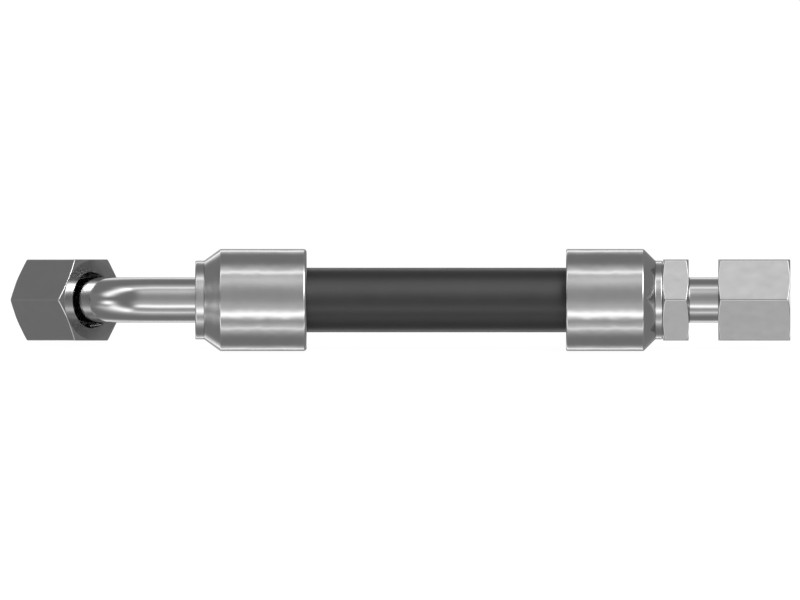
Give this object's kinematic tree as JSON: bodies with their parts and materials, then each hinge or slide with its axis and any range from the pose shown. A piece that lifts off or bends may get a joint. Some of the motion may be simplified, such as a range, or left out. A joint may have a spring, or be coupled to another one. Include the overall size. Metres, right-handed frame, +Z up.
{
  "type": "hydraulic hose assembly",
  "caption": "Short rubber hydraulic hose with crimped steel fittings: bent tube on the left, straight on the right, each with a hexagonal swivel nut for a cone joint.",
  "frame": {"origin": "on the ground under the middle of the whole assembly as it lies at rest", "axes": "+X along the hose, from the bent fitting to the straight one; +Y away from the viewer, the side that the bent fitting turns to; +Z up"},
  "size_m": [0.2594, 0.0556, 0.034],
  "materials": {
    "hose_cover": "matt black, smooth",
    "hose_liner": "black, smooth",
    "hose_wire_braid": "brass-coated steel wire",
    "plated_insert": "bright plated, glossy",
    "plated_ferrule": "bright plated, glossy",
    "swivel_nut": "plated, satin",
    "seal_ring": "black, semi-gloss"
  },
  "bodies": {
    "hose_and_fittings": {"hose_liner": "hose_liner", "hose_wire_braid": "hose_wire_braid", "hose_cover": "hose_cover", "left_elbow_insert": "plated_insert", "left_ferrule": "plated_ferrule", "left_seal_ring": "seal_ring", "right_straight_insert": "plated_insert", "right_ferrule": "plated_ferrule", "right_seal_ring": "seal_ring"},
    "left_nut": {"left_swivel_nut": "swivel_nut"},
    "right_nut": {"right_swivel_nut": "swivel_nut"}
  },
  "joints": [
    {"name": "left_nut_turn", "type": "hinge", "parent": "hose_and_fittings", "child": "left_nut", "pos_m": [-0.10222, 0.00048, 0.01578], "axis": [-0.7071, 0.703, -0.076], "continuous": true},
    {"name": "right_nut_turn", "type": "hinge", "parent": "hose_and_fittings", "child": "right_nut", "pos_m": [0.10569, -0.01081, 0.017], "axis": [1, 0, 0], "continuous": true}
  ]
}
